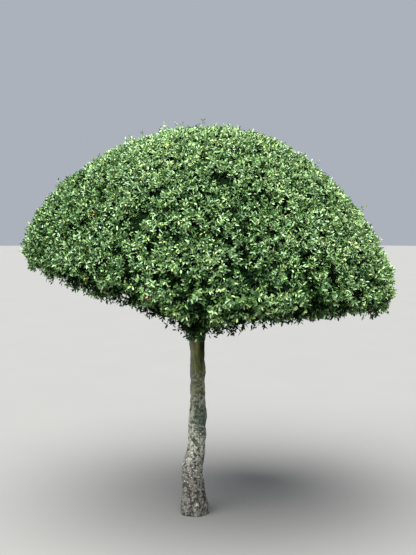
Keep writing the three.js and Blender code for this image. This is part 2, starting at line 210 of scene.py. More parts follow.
class Seeded:
    """The source's seeded generator, so that the same plant grows here."""

    FULL = 0xFFFFFFFF
    STEP = 0x6D2B79F5

    def __init__(self, seed):
        self.state = seed & self.FULL

    def draw(self):
        """The next number from 0 to 1."""
        self.state = (self.state + self.STEP) & self.FULL
        mixed = ((self.state ^ (self.state >> 15)) * (1 | self.state)) & self.FULL
        mixed = ((mixed + ((mixed ^ (mixed >> 7)) * (61 | mixed))) & self.FULL) ^ mixed
        return ((mixed ^ (mixed >> 14)) & self.FULL) / (self.FULL + 1)

    def draws(self, rows, columns):
        return np.array([[self.draw() for _ in range(columns)] for _ in range(rows)])


# Shape of the clipped crown
def lower_edge(cosine):
    return LOWER_EDGE + (LEFT_LIFT / 2) * (np.sqrt(cosine**2 + LIFT_SOFTNESS) - cosine)


def fringe(azimuth):
    aside = (np.cos(azimuth) + FRINGE_SHIFT) / FRINGE_WIDTH
    return np.where(np.sin(azimuth) < 0, FRINGE_DROP * np.exp(-aside * aside), 0)


def section(azimuth, along, depth):
    """Radius and height: along is 0 at the top, 1 at the widest line and 2 at the edge's foot."""
    widest = lower_edge(np.cos(azimuth)) + EDGE_DROP
    spread = CROWN_RADIUS - depth
    turn = np.minimum(along, 1) * math.pi / 2
    rise = TOP_HEIGHT - depth - widest
    dome_radius = spread * np.sin(turn) ** (2 / SPREAD_POWER)
    dome_height = widest + rise * np.maximum(np.cos(turn), 0) ** (2 / RISE_POWER)
    under = np.maximum(along - 1, 0) * math.pi / 2
    drop = EDGE_DROP + fringe(azimuth) - depth * (EDGE_DEPTH / SKIN_DEPTH)
    edge_radius = spread - EDGE_TURN_IN * (1 - np.cos(under))
    edge_height = widest - drop * np.sin(under)
    on_dome = along <= 1
    return np.where(on_dome, dome_radius, edge_radius), np.where(on_dome, dome_height, edge_height)


def crown_points(azimuth, along, depth):
    radius, height = section(azimuth, along, depth)
    x = AXIS_X + radius * np.cos(azimuth)
    y = radius * np.sin(azimuth)
    return np.stack(np.broadcast_arrays(x, y, height), axis=-1)


def skin_facings(azimuth, along):
    """The ways that the skin faces at places on it."""
    step = 0.02
    here = crown_points(azimuth, along, 0)
    onwards = crown_points(azimuth, along + step, 0) - here
    sideways = crown_points(azimuth + step, along, 0) - here
    return -unit(np.cross(sideways, onwards))


def hollow_ceiling(radius, cosine):
    foot = lower_edge(cosine)
    share = min(1.0, radius / HOLLOW_RADIUS)
    return foot + (HOLLOW_TOP - foot) * math.sqrt(1 - share * share)


def skin_places(count, random, last_along):
    """Even places on the skin, in the order of a sunflower's seeds, from the top down."""
    steps = np.arange(AREA_STEPS + 1) / AREA_STEPS * last_along
    radius, height = section(math.pi / 2, steps, 0)
    lengths = np.hypot(np.diff(radius), np.diff(height))
    closeness = np.where(steps[1:] > 1, EDGE_TWIGS, 1)
    areas = np.append(0, np.cumsum(closeness * lengths * (radius[1:] + radius[:-1])))
    drawn = random.draws(count, 2)
    order = np.arange(count)
    wanted = (order + drawn[:, 0]) / count * areas[-1]
    azimuth = order * GOLDEN_ANGLE + (drawn[:, 1] - 0.5) * TURN_JITTER
    return azimuth, np.interp(wanted, areas, steps)


class Courses:
    """Bent lines, each from a foot past a bend to a tip, kept as rows of arrays."""

    PARTS = ("feet", "bends", "tips")

    def __init__(self, *parts):
        self.feet, self.bends, self.tips = (np.reshape(part, (-1, 3)) for part in parts)

    def at(self, shares):
        """The shares and the three parts, shaped to give one row of points for each course."""
        parts = (self.feet, self.bends, self.tips)
        return np.atleast_1d(shares)[..., None], *(part[:, None] for part in parts)

    def points(self, shares):
        """Points at those shares of every course."""
        t, feet, bends, tips = self.at(shares)
        return (1 - t) ** 2 * feet + 2 * t * (1 - t) * bends + t**2 * tips

    def headings(self, shares):
        """The ways that the courses run there."""
        t, feet, bends, tips = self.at(shares)
        return unit((1 - t) * (bends - feet) + t * (tips - bends))


def fork_middle():
    return np.array((trunk_at(FORK_HEIGHT)[1], 0, FORK_HEIGHT))


def outwards(azimuth):
    return np.array((math.cos(azimuth), math.sin(azimuth), 0))


def above_point(azimuth, radius):
    """A point just above the hollow's ceiling."""
    height = hollow_ceiling(radius, math.cos(azimuth)) + PAST_THE_CEILING
    return outwards(azimuth) * radius + (AXIS_X, 0, height)


def bough_course(azimuth):
    out = outwards(azimuth)
    foot = fork_middle() + out * BOUGH_FOOT - UP * BOUGH_FOOT
    bend = foot + out * BOUGH_BEND + UP * BOUGH_BEND * BOUGH_STEEPNESS
    return Courses(foot, bend, above_point(azimuth, BOUGH_REACH))


def side_limb_course(azimuth, side):
    start = bough_course(azimuth).points(LIMB_START)[0, 0]
    tip = above_point(azimuth + side * LIMB_SWING, LIMB_REACH)
    return Courses(start, (start + tip) / 2 - UP * LIMB_SAG, tip)


def leader_course():
    foot = fork_middle() - UP * LEADER_RADII[0]
    tip = np.array(LEADER_TIP)
    return Courses(foot, (foot + tip) / 2 - np.array((LEADER_SWAY, 0, 0)), tip)


# Growth by the source's rule: each new course springs from the nearest branching before it
def grown(parents, tips, spring_shares, stiffness):
    """Courses to the tips, each from the nearest of the points at those shares of the parents."""
    points = parents.points(spring_shares).reshape(-1, 3)
    headings = parents.headings(spring_shares).reshape(-1, 3)
    tree = kdtree.KDTree(len(points))
    for i, point in enumerate(points):
        tree.insert(point, i)
    tree.balance()
    nearest = np.array([tree.find(tip)[1] for tip in tips])
    feet = points[nearest]
    reach = np.linalg.norm(tips - feet, axis=1, keepdims=True)
    return Courses(feet, feet + headings[nearest] * reach * stiffness, tips)


def branching_courses(random, limbs, count, depth):
    """The branchings inside the crown, one after the other: the first ones spring from the limbs."""
    heart = crown_points(0.0, 0.0, HEART_DEPTH)
    leader_tip = limbs.tips[0]
    made = [Courses(leader_tip, (leader_tip + heart) / 2, heart)]
    azimuths, alongs = skin_places(count, random, LAST_BRANCHING)
    for tip in crown_points(azimuths, alongs, depth):
        made.append(grown(joined([limbs, *made]), tip[None], *BRANCHING_GROWTH))
    return joined(made)


# Meshes from arrays
def placed(name, data):
    """A new object in the scene."""
    made = bpy.data.objects.new(name, data)
    bpy.context.scene.collection.objects.link(made)
    return made


def new_piece(name, points, template):
    """A piece from rows of points, each row with the same triangles between its points."""
    starts = np.arange(len(points))[:, None, None] * points.shape[1]
    triangles = (template + starts).reshape(-1, 3)
    mesh = bpy.data.meshes.new(name)
    mesh.vertices.add(points.size // 3)
    mesh.vertices.foreach_set("co", points.astype(np.float32).ravel())
    mesh.loops.add(triangles.size)
    mesh.loops.foreach_set("vertex_index", triangles.astype(np.int32).ravel())
    mesh.polygons.add(len(triangles))
    mesh.polygons.foreach_set("loop_start", np.arange(len(triangles), dtype=np.int32) * 3)
    mesh.update(calc_edges=True)
    return placed(name, mesh)


def rings_round(across, up, sides):
    """Rings one metre out from each middle, given two ways that stand square to its axis."""
    angle = np.arange(sides) / sides * 2 * math.pi
    return across[..., None, :] * np.cos(angle)[:, None] + up[..., None, :] * np.sin(angle)[:, None]


def tube_triangles(sides, rings):
    """A closed tube's triangles: ring after ring, then the tip's point and the foot's."""
    around = np.arange(sides)
    onwards = (around + 1) % sides
    found = []
    for ring in range(rings - 1):
        low, high = ring * sides, (ring + 1) * sides
        found.append(np.stack([low + around, low + onwards, high + onwards], 1))
        found.append(np.stack([low + around, high + onwards, high + around], 1))
    last, tip, foot = (rings - 1) * sides, rings * sides, rings * sides + 1
    found.append(np.stack([last + around, last + onwards, np.full(sides, tip)], 1))
    found.append(np.stack([onwards, around, np.full(sides, foot)], 1))
    return np.concatenate(found)


def shoot_piece(name, courses, radius):
    """Courses as thin straight thorns with three sides, in one piece."""
    axis = courses.headings(0.5)[:, 0]
    side = unit(np.cross(axis, off_axis(axis)))
    ring = rings_round(side, np.cross(axis, side), 3)
    points = np.concatenate([courses.feet[:, None] + ring * radius, courses.tips[:, None]], axis=1)
    return new_piece(name, points, np.array([(0, 1, 3), (1, 2, 3), (2, 0, 3), (0, 2, 1)]))


def twig_piece(name, courses, foot_radius, tip_radius, sides, rings):
    """Courses as thin tapering tubes in one piece."""
    shares = np.linspace(0, 1, rings)
    middles = courses.points(shares)
    headings = courses.headings(shares)
    first = headings[:, :1]
    across = squared_to(headings, np.cross(first, off_axis(first)))
    ring = rings_round(across, np.cross(headings, across), sides)
    radius = mix(foot_radius, tip_radius, shares)[None, :, None, None]
    walls = (middles[:, :, None] + ring * radius).reshape(len(middles), -1, 3)
    tips = middles[:, -1:] + headings[:, -1:] * tip_radius
    points = np.concatenate([walls, tips, middles[:, :1]], axis=1)
    return new_piece(name, points, tube_triangles(sides, rings))


# Leaves
LEAF_LENGTH = 0.0195
LEAF_WIDTH = 0.0078
SHOULDER = (0.46, 0.3)  # where its outline stops widening: shares of its width and of its length
TAPER = (0.43, 0.72)  # and where it starts to narrow to the tip
PLAIN_CORNER = (0.85, 0.5)  # the same for the hidden leaves, which have only four corners
LEAF_FOLD = 0.36  # how far the edges stand over the midrib, as a share of their distance from it
LEAF_DROOP = 0.12  # how far the tip curls down, as a share of the length
UV_MAP = "blade"
SHADE = "shade"


def leaf_shape(plain):
    """The leaf's corners as shares of its width, its length and its length again for height."""
    right = [PLAIN_CORNER] if plain else [SHOULDER, TAPER]
    left = [(-across, along) for across, along in reversed(right)]
    across, along = np.array([(0, 0), *right, (0, 1), *left]).T
    fold = LEAF_FOLD * LEAF_WIDTH / LEAF_LENGTH
    return across, along, fold * np.abs(across) - LEAF_DROOP * along**2


class Leaves:
    """Rows of leaves: their roots, the ways they run and face, their sizes and their tints."""

    PARTS = ("roots", "headings", "facings", "sizes", "tints")

    def __init__(self, *parts):
        self.roots, self.headings, self.facings = (part.reshape(-1, 3) for part in parts[:3])
        self.sizes, self.tints = (part.reshape(-1) for part in parts[3:])

    def chosen(self, picked):
        return Leaves(*(getattr(self, part)[picked] for part in self.PARTS))


def leaf_piece(name, leaves, plain, random):
    """Leaves as one piece: each is a fan of a few faces, folded along its midrib."""
    across, along, height = leaf_shape(plain)
    right = np.cross(leaves.headings, leaves.facings)
    length = (leaves.sizes * LEAF_LENGTH)[:, None, None]
    width = (leaves.sizes * LEAF_WIDTH)[:, None, None]
    points = leaves.roots[:, None] + right[:, None] * across[:, None] * width
    points += leaves.headings[:, None] * along[:, None] * length
    points += leaves.facings[:, None] * height[:, None] * length
    corner = np.arange(1, len(across) - 1)
    fan = np.stack([corner * 0, corner, corner + 1], 1)
    piece = new_piece(name, points, fan)
    flat = np.stack([across + 0.5, along], 1).astype(np.float32)
    layer = piece.data.uv_layers.new(name=UV_MAP)
    layer.data.foreach_set("uv", np.tile(flat[fan.ravel()], (len(points), 1)).ravel())
    shade = piece.data.attributes.new(SHADE, "FLOAT", "POINT")
    shades = np.repeat(random.random(len(points)), len(across))
    shade.data.foreach_set("value", shades.astype(np.float32))
    return piece


# The leaves of each spray: a shoot and the leaves round it
LEAVES_ON_A_SHOOT = 8
OUTER_PART = (0.45, 1.0)  # the shares of a course's length between which its leaves stand
CROWDING = 0.8  # they stand closer towards the tip
ANGLE_JITTER = 0.3
SKIN_PULL = 0.5  # how much the leaves turn to face out of the skin
LIGHT_PULL = 0.35  # and up, to the light
# Radians from the shoot to its lowest leaf and to its last one, and how much the ways they face vary
STANCE = ((1.35, 0.7), 0.85)
FLAT_STANCE = ((1.35, 1.35), 0.25)  # of the hidden leaves, which lie flat to the skin
LEAF_SIZES = (0.72, 1.2)  # from the smallest to the largest
TIP_LEAF = 0.8  # the last leaf of a shoot is smaller by this, and those before it by less
TIP_POWER = 3
LOW_GROWTH = 0.3  # the leaves near the lower edge are this much larger
# Hidden leaves, which close the crown and take the near-black inner tint, a painted shade: how many on each
# course, their size, and on which part of it
HIDDEN_ON_SHOOT = (1, 2.4, (0, 0.2))
HIDDEN_ON_TWIG = (11, 2.6, OUTER_PART)
HIDDEN_ON_BRANCHLET = (32, 3.1, OUTER_PART)
HIDDEN_ON_BRANCHING = (150, 2.6, OUTER_PART)


def spray_leaves(courses, outward, freshness_and_painted_light, growth, random, count, part=OUTER_PART, stance=STANCE):
    """Leaves in a spiral round each course."""
    rows = len(courses.tips)
    angles, facing_jitter = stance
    order = np.arange(count)
    place = (order + random.random((rows, count))) / count
    shares = mix(*part, place**CROWDING)
    roots = courses.points(shares)
    axis = courses.headings(shares)
    side = unit(np.cross(axis, random.normal(size=(rows, 1, 3))))
    other = np.cross(axis, side)
    turn = random.random((rows, 1)) * 2 * math.pi + order * GOLDEN_ANGLE
    radial = side * np.cos(turn)[..., None] + other * np.sin(turn)[..., None]
    lean = mix(*angles, place) + random.normal(size=(rows, count)) * ANGLE_JITTER
    headings = unit(axis * np.cos(lean)[..., None] + radial * np.sin(lean)[..., None])
    facings = axis + SKIN_PULL * outward[:, None] + LIGHT_PULL * UP
    facings = squared_to(headings, facings + random.normal(size=facings.shape) * facing_jitter)
    sizes = mix(*LEAF_SIZES, random.random((rows, count))) * mix(1, TIP_LEAF, place**TIP_POWER)
    # painted shade and age: the lower leaves of a shoot are darker
    fresh = freshness_and_painted_light[:, None] - OLD_AND_SHADED_LEAF * (1 - place)
    fresh = fresh + random.normal(size=(rows, count)) * LEAF_VARIETY
    tints = np.searchsorted([ends for _, ends, *_ in TINTS], fresh)
    return Leaves(roots, headings, facings, sizes * growth[:, None], tints)


# How the clipped skin rises and falls
SKIN_REST = 0.016  # how far under the clipped skin a shoot ends on average
SKIN_JITTER = 0.018
SHALLOWEST = 0.004
# Patterns of lumps: their size, height and seed
LUMPS = (0.085, 0.016, 0)
SMALL_LUMPS = (0.024, 0.007, 9)
POCKETS = (0.045, 1, 21)
DRIFTS = (0.16, 0.12, 40)  # of fresher and duller sprays
LOW_FROM = 1.4  # the lower edge's ways begin at this height, and hold in full LOW_SPAN below it
LOW_SPAN = 0.3
LOW_ROUGHNESS = 1.8  # the lumps are this much higher again at the lower edge
POCKET_LEVEL = 0.35
POCKET_DEPTHS = (0.045, 0.26)  # on the dome and at the lower edge
DEEPEST_POCKET = 0.065
STRAY_SHARE = 0.003
STRAY_REACH = 0.024
GAP_FADE = 1.4  # a gap's last trace lies this many of its radii from its middle
GAPS = (
    # compass angle in degrees, along the section, radius, depth: the dark gaps, where the held-back shoots
    # also get painted shade by DEPTH_SHADE
    (276, 0.5, 0.03, 0.08),
    (247, 0.7, 0.04, 0.065),
    (281, 0.89, 0.045, 0.055),
    (263, 1.01, 0.035, 0.06),
    (270, 1.03, 0.03, 0.055),
    (267, 1.41, 0.05, 0.06),
    (316, 0.98, 0.036, 0.055),
    (303, 0.84, 0.026, 0.045),
    (299, 1.12, 0.03, 0.05),
    (240, 1.6, 0.03, 0.03),
    # where the skin is flatter
    (350, 0.72, 0.2, 0.012),
    (353, 0.52, 0.18, 0.02),
    # and where it stands proud
    (348, 0.9, 0.16, -0.016),
    (188, 0.84, 0.22, -0.018),
)
HANGING = (
    # compass angle, along the section, spread of the angles, how far they hang, how many sprays,
    # and their painted shade: they are tinted as dark as ones this deep under the skin
    (251, 1.82, 2.5, 0.046, 14, 0.08),
    (278, 1.88, 2.5, 0.048, 12, 0.08),
    (267, 1.94, 7, 0.036, 34, 0.08),
    (265, 1.96, 2.5, 0.07, 36, 0.08),
    (243, 1.88, 9, 0.042, 40, 0.045),
    (232, 1.85, 5, 0.044, 34, 0.035),
    (222, 1.75, 5, 0.046, 34, 0.03),
    (211, 1.55, 4, 0.044, 24, 0.025),
    (199, 1.28, 4, 0.048, 34, 0.02),
    (193, 1.25, 2.5, 0.055, 16, 0.015),
    (280.6, 0.93, 1.0, 0.012, 12, 0.05),
    (300, 1.94, 14, 0.022, 20, 0.05),
    (338, 1.6, 5, 0.058, 18, 0.03),
    (342, 1.35, 4, 0.064, 28, 0.025),
)
LEAST_HANG = 0.3  # as a share of how far they hang
RIM_SPRAYS = 170  # loose ones all round the lower edge
RIM_HANG = 0.022
# the loose rim sprays' painted shade, as a depth under the skin
RIM_SHADE = 0.04


def lumps(points, size, height, seed):
    """How far a soft pattern of lumps rises or falls at the points."""
    shift = Vector((seed, seed, seed))
    return np.array([noise.noise(Vector(point / size) + shift) for point in points]) * 2 * height


def low_down(points):
    """0 on the dome, rising to 1 at the crown's lower edge."""
    return ramp(points[:, 2], LOW_FROM, -LOW_SPAN)


def gap_depths(points):
    """How far shoots are held back by the dark gaps."""
    depths = np.zeros(len(points))
    for degrees, along, radius, depth in GAPS:
        middle = crown_points(math.radians(degrees), along, 0.0)
        far = np.linalg.norm(points - middle, axis=1)
        depths += depth * np.clip(GAP_FADE - far / radius, 0, 1)
    return depths


# Tints of the leaves, from the hidden ones, a near-black painted shade, to the sunlit ones: a spray's
# freshness, with painted light and shade in it, deals them out
TINTS = (
    # name, the freshness where it ends, base colour, lowest roughness, sheen
    # inner is painted shade for the hidden leaves; dark and shade also carry the painted shade of deep and
    # low sprays
    ("inner", -9, (0.0045, 0.0125, 0.0035), 0.8, 0.0),
    ("dark", -1.25, (0.012, 0.034, 0.009), 0.65, 0.04),
    ("shade", -0.75, (0.033, 0.083, 0.02), 0.55, 0.08),
    ("deep", -0.3, (0.069, 0.152, 0.038), 0.42, 0.22),
    ("cool", 0.15, (0.13, 0.246, 0.101), 0.33, 0.55),
    ("mid", 0.6, (0.181, 0.313, 0.103), 0.34, 0.5),
    ("fresh", 1.15, (0.234, 0.364, 0.146), 0.35, 0.48),
    ("lime", 7, (0.28, 0.388, 0.148), 0.38, 0.45),
    ("yellow", 12, (0.5, 0.45, 0.1), 0.42, 0.3),
    ("rust", math.inf, (0.29, 0.15, 0.07), 0.45, 0.25),
)
# The freshness of hidden leaves, which gives them the near-black inner tint as painted shade, and of rare
# discoloured sprays, and how rare these are
INNER = -20.0
YELLOW = 7.5
RUST = 20.0
YELLOW_SHARE = 0.0015
RUST_SHARE = 0.0003
FRESHER_AND_PAINTED_LIGHT = (
    # axis, where along it this begins, how far on it holds in full, how much fresher the sprays are:
    # lighter on the right, darker on the left, painted light on top and painted shade near the lower edge
    (0, 0.4, 0.5, 0.5),
    (0, -0.3, -0.4, -0.38),
    (2, 1.7, 0.3, 0.5),
    (2, LOW_FROM, -LOW_SPAN, -0.74),
)
# The same where the crown is both in front and low
FRONT = (-0.78, -0.12)
FRONT_LOW = (1.32, -0.12)
FRONT_FRESHER = 0.7
SPRAY_VARIETY = 0.15
LOW_VARIETY = 0.45  # neighbouring sprays differ more at the lower edge, by this much
LEAF_VARIETY = 0.85
OLD_AND_SHADED_LEAF = 0.6  # how much darker the lowest leaf of a shoot is than its last one: partly older leaves, partly painted shade deeper in the spray
DEPTH_SHADE = 12  # and painted shade: how much darker a spray's tint gets for each metre that it lies under the skin
LOW_SHADE = 0.9  # more painted shade near the lower edge, by this share


def spray_freshness_and_painted_light(tips, depths, random):
    """How fresh each spray is, with painted light and shade: lighter on the right and low in front, painted
    light on top and where it stands proud, painted shade where it lies deep and near the lower edge.
    """
    low = low_down(tips)
    fresh = random.normal(size=len(tips)) * (SPRAY_VARIETY + LOW_VARIETY * low)
    fresh += lumps(tips, *DRIFTS)
    # among these shifts: painted light on top and painted shade near the lower edge
    for axis, start, span, change in FRESHER_AND_PAINTED_LIGHT:
        fresh += change * ramp(tips[:, axis], start, span)
    fresh += FRONT_FRESHER * ramp(tips[:, 1], *FRONT) * ramp(tips[:, 2], *FRONT_LOW)
    # painted shade for sprays that lie deep under the skin, more near the lower edge
    fresh -= (depths - SKIN_REST) * DEPTH_SHADE * (1 + LOW_SHADE * low)
    rare = random.random(len(tips))
    fresh = np.where(rare < YELLOW_SHARE, YELLOW, fresh)
    return np.where(rare > 1 - RUST_SHARE, RUST, fresh)


# Modelling by hand: the trunk and the limbs
def deselect_all():
    bpy.ops.object.select_all(action="DESELECT")


def stop_editing():
    bpy.ops.object.mode_set(mode="OBJECT")


def edit_all(piece):
    """Starts to edit a piece, with all of its mesh selected."""
    bpy.context.view_layer.objects.active = piece
    piece.select_set(True)
    bpy.ops.object.mode_set(mode="EDIT")
    bpy.ops.mesh.select_all(action="SELECT")


def pick(piece, kind, wanted):
    """In edit mode, selects the vertices or the edges that are wanted."""
    bpy.ops.object.mode_set(mode="EDIT")
    bpy.ops.mesh.select_mode(type=kind)
    bpy.ops.mesh.select_all(action="DESELECT")
    stop_editing()
    for element in piece.data.vertices if kind == "VERT" else piece.data.edges:
        element.select = wanted(element)
    bpy.ops.object.mode_set(mode="EDIT")


def softly(spread):
    """Settings of a move that fades out over a distance."""
    return dict(use_proportional_edit=True, proportional_edit_falloff="SMOOTH", proportional_size=spread)


def pull(piece, place, move, spread):
    """Pulls the mesh out softly round the vertex nearest to a place."""
    nearest = min(piece.data.vertices, key=lambda vertex: (vertex.co - place).length).co.copy()
    pick(piece, "VERT", lambda vertex: (vertex.co - nearest).length < SAME_PLACE)
    bpy.ops.transform.translate(value=move, **softly(spread))
    stop_editing()


def apply_modifier(piece, kind, **settings):
    bpy.context.view_layer.objects.active = piece
    modifier = piece.modifiers.new(kind.lower(), kind)
    for key, value in settings.items():
        setattr(modifier, key, value)
    bpy.ops.object.modifier_apply(modifier=modifier.name)


def add_relief(piece, kind, size, height, stretch, group=""):
    """Raises and sinks the surface by a pattern of lumps, drawn out along the grain."""
    texture = bpy.data.textures.new(piece.name + "_relief", type=kind)
    texture.noise_scale = size
    grain = placed("grain", None)
    grain.scale = (1, 1, stretch)
    bpy.context.view_layer.update()
    apply_modifier(
        piece, "DISPLACE", texture=texture, strength=height, mid_level=0.5,
        texture_coords="OBJECT", texture_coords_object=grain, vertex_group=group,
    )
    bpy.data.objects.remove(grain)
    bpy.data.textures.remove(texture)


def close_up(piece):
    """Merges doubles and turns every face outwards."""
    edit_all(piece)
    bpy.ops.mesh.remove_doubles(threshold=SAME_PLACE)
    bpy.ops.mesh.normals_make_consistent(inside=False)
    stop_editing()
    for polygon in piece.data.polygons:
        polygon.use_smooth = True


def trunk_at(height):
    """The trunk's radius and sideways shift at a height, on a smooth line through its stations."""
    heights, radii, shifts = np.array(TRUNK_STATIONS).T
    height = min(max(height, 0.0), FORK_HEIGHT)
    i = min(int(np.searchsorted(heights, height, side="right")) - 1, len(heights) - 2)
    span = heights[i + 1] - heights[i]
    t = (height - heights[i]) / span
    found = []
    for values in (radii, shifts):
        slopes = np.gradient(values, heights) * span
        rise = values[i + 1] - values[i]
        bow = slopes[i] * (1 - t) - slopes[i + 1] * t + rise * (2 * t - 1)
        found.append(float(values[i] + rise * t + t * (1 - t) * bow))
    return found


def extruded_trunk():
    """A short cylinder whose top is extruded ring by ring up to the fork."""
    heights = np.linspace(-BELOW_GROUND, FORK_HEIGHT, TRUNK_RINGS + 1)
    step = heights[1] - heights[0]
    radius, shift = trunk_at(0.0)
    deselect_all()
    bpy.ops.mesh.primitive_cylinder_add(
        vertices=TRUNK_SIDES, radius=radius, depth=step, location=(shift, 0, heights[0] + step / 2)
    )
    trunk = bpy.context.object
    trunk.name = "trunk_bark"
    bpy.ops.object.transform_apply(location=True)
    pick(trunk, "VERT", lambda vertex: vertex.co.z > heights[0] + step / 2)
    for height in heights[2:]:
        next_radius, next_shift = trunk_at(height)
        bpy.ops.mesh.extrude_region_move(TRANSFORM_OT_translate={"value": (next_shift - shift, 0, step)})
        growth = next_radius / radius
        bpy.ops.transform.resize(value=(growth, growth, 1), center_override=(next_shift, 0, height))
        radius, shift = next_radius, next_shift
    stop_editing()
    return trunk


def model_trunk():
    trunk = extruded_trunk()
    for lobe in range(ROOT_LOBES):
        out = Vector(outwards((lobe * 2 * math.pi - ROOT_LOBE_TURN) / ROOT_LOBES))
        pull(trunk, out * trunk_at(0.0)[0], out * TOE_REACH, TOE_SPREAD)
    for height, degrees, reach in KNOBS:
        radius, shift = trunk_at(height)
        out = Vector(outwards(math.radians(degrees)))
        pull(trunk, out * radius + Vector((shift, 0, height)), out * reach, KNOB_SPREAD)
    apply_modifier(trunk, "SUBSURF", levels=2, render_levels=2)
    group = trunk.vertex_groups.new(name=LOW)
    for vertex in trunk.data.vertices:
        height = min(max(vertex.co.z / FORK_HEIGHT, 0), 1)
        group.add([vertex.index], mix(1.0, FORK_RELIEF, height), "REPLACE")
    for relief in TRUNK_RELIEF:
        add_relief(trunk, *relief)
    edit_all(trunk)
    bpy.ops.mesh.bisect(plane_co=(0, 0, 0), plane_no=(0, 0, 1), clear_inner=True, use_fill=True)
    stop_editing()
    close_up(trunk)
    return trunk


def course_curve(course):
    """A Blender curve along one course."""
    data = bpy.data.curves.new("course", "CURVE")
    data.dimensions = "3D"
    data.resolution_u = CURVE_STEPS
    ends = data.splines.new("BEZIER").bezier_points
    ends.add(1)
    foot, bend, tip = (Vector(part[0]) for part in (course.feet, course.bends, course.tips))
    for point, place in zip(ends, (foot, tip)):
        point.co = place
        point.handle_left = point.handle_right = place + (bend - place) * 2 / 3
    ends[0].handle_left = foot - (bend - foot) * 2 / 3
    ends[1].handle_right = tip + (tip - bend) * 2 / 3
    return placed("course", data)


def model_limb(name, course, base_radius, tip_radius):
    """A tapering cone, cut across into rings, thickened at its collar and bent along its course."""
    line = course.points(np.linspace(0, 1, LENGTH_STEPS))[0]
    length = float(np.sum(np.linalg.norm(np.diff(line, axis=0), axis=1)))
    deselect_all()
    bpy.ops.mesh.primitive_cone_add(
        vertices=LIMB_SIDES, radius1=base_radius, radius2=tip_radius, depth=length,
        location=(length / 2, 0, 0), rotation=(0, math.pi / 2, 0),
    )
    limb = bpy.context.object
    limb.name = name
    bpy.ops.object.transform_apply(location=True, rotation=True)
    pick(limb, "EDGE", lambda edge: spans(limb, edge, length))
    bpy.ops.mesh.subdivide(number_cuts=LIMB_CUTS)
    pick(limb, "VERT", lambda vertex: vertex.co.x < FOOT_SLACK)
    collar = (1, COLLAR_GROWTH, COLLAR_GROWTH)
    bpy.ops.transform.resize(value=collar, center_override=(0, 0, 0), **softly(COLLAR_LENGTH))
    stop_editing()
    curve = course_curve(course)
    apply_modifier(limb, "CURVE", object=curve, deform_axis="POS_X")
    bpy.data.objects.remove(curve)
    apply_modifier(limb, "SUBSURF", levels=1, render_levels=1)
    for pattern, size, share, stretch in LIMB_RELIEF:
        add_relief(limb, pattern, size, base_radius * share, stretch)
    close_up(limb)
    return limb


def spans(piece, edge, length):
    """True if an edge runs the cone's whole length."""
    a, b = (piece.data.vertices[i].co for i in edge.vertices)
    return abs(a.x - b.x) > length / 2


# Finishes: shader maths as Python expressions
class Value:
    """A shader socket that takes part in Python expressions."""

    def __init__(self, finish, socket):
        self.finish = finish
        self.socket = socket

    def math(self, operation, *values):
        return self.finish.node("Math", {"operation": operation}, dict(enumerate(values)))

    def __add__(self, other):
        return self.math("ADD", self, other)

    __radd__ = __add__

    def __sub__(self, other):
        return self.math("SUBTRACT", self, other)

    def __rsub__(self, other):
        return self.math("SUBTRACT", other, self)

    def __mul__(self, other):
        return self.math("MULTIPLY", self, other)

    __rmul__ = __mul__

    def __abs__(self):
        return self.math("ABSOLUTE", self)

    def fraction(self):
        """What is over the last whole number."""
        return self.math("FRACT", self)

    def between(self, low, high):
        """0 below low, 1 above high, and smooth between them."""
        settings = {"interpolation_type": "SMOOTHSTEP"}
        return self.finish.node("MapRange", settings, {0: self, 1: low, 2: high})


class Finish:
    """A material, built up node by node."""

    def __init__(self, name, sheen):
        self.material = bpy.data.materials.new(name)
        self.material.use_nodes = True
        self.tree = self.material.node_tree
        self.shader = self.tree.nodes["Principled BSDF"]
        self.shader.inputs["Specular IOR Level"].default_value = sheen
        self.place = self.node("TexCoord", {}, {}, "Object")

    def node(self, kind, settings, values, output=0):
        made = self.tree.nodes.new("ShaderNode" + kind)
        for key, value in settings.items():
            setattr(made, key, value)
        for key, value in values.items():
            self.feed(made.inputs[key], value)
        return Value(self, made.outputs[output])

    def feed(self, socket, value):
        if isinstance(value, Value):
            self.tree.links.new(value.socket, socket)
        else:
            socket.default_value = value

    def stretched(self, stretch):
        """Object coordinates drawn out along Z."""
        return self.node("Mapping", {}, {"Vector": self.place, "Scale": (1, 1, 1 / stretch)})

    def noise(self, scale, detail, place=None, distortion=0.0):
        values = {"Vector": place or self.place, "Scale": scale, "Detail": detail, "Distortion": distortion}
        return self.node("TexNoise", {}, values)

    def from_cracks(self, scale, place):
        """How far places lie from the edges of a pattern of cells."""
        return self.node("TexVoronoi", {"feature": "DISTANCE_TO_EDGE"}, {"Vector": place, "Scale": scale})

    def axis(self, name, vector=None):
        return self.node("SeparateXYZ", {}, {"Vector": vector or self.place}, name)

    def blend(self, share, a, b, way="MIX"):
        """Colour a where share is 0 and, where it is 1, colour b or what b makes of a."""
        a, b = ((*c, 1.0) if isinstance(c, tuple) else c for c in (a, b))
        settings = {"data_type": "RGBA", "blend_type": way}
        return self.node("Mix", settings, {"Factor": share, 6: a, 7: b}, "Result")

    def bump(self, height, distance, strength):
        return self.node("Bump", {}, {"Height": height, "Distance": distance, "Strength": strength})

    def set(self, **sockets):
        for socket, value in sockets.items():
            self.feed(self.shader.inputs[socket.replace("_", " ")], value)
        return self.material


# Bark colours: dark and pale
SMOOTH_BARK = ((0.066, 0.076, 0.014), (0.24, 0.258, 0.088))
GREY_BARK = ((0.066, 0.078, 0.052), (0.43, 0.44, 0.355))
FOOT_BARK = ((0.03, 0.028, 0.025), (0.165, 0.158, 0.142))
# the pale plates in painted shade and in painted light
PLATE_BARK_SHADED_AND_LIT = ((0.36, 0.4, 0.32), (0.5, 0.46, 0.39))
# darkened: partly the boughs' own bark, partly painted shade inside the crown
BOUGH_BARK_AND_SHADE = ((0.028, 0.03, 0.014), (0.088, 0.09, 0.046))
TWIG_BARK = ((0.018, 0.022, 0.009), (0.06, 0.072, 0.028))
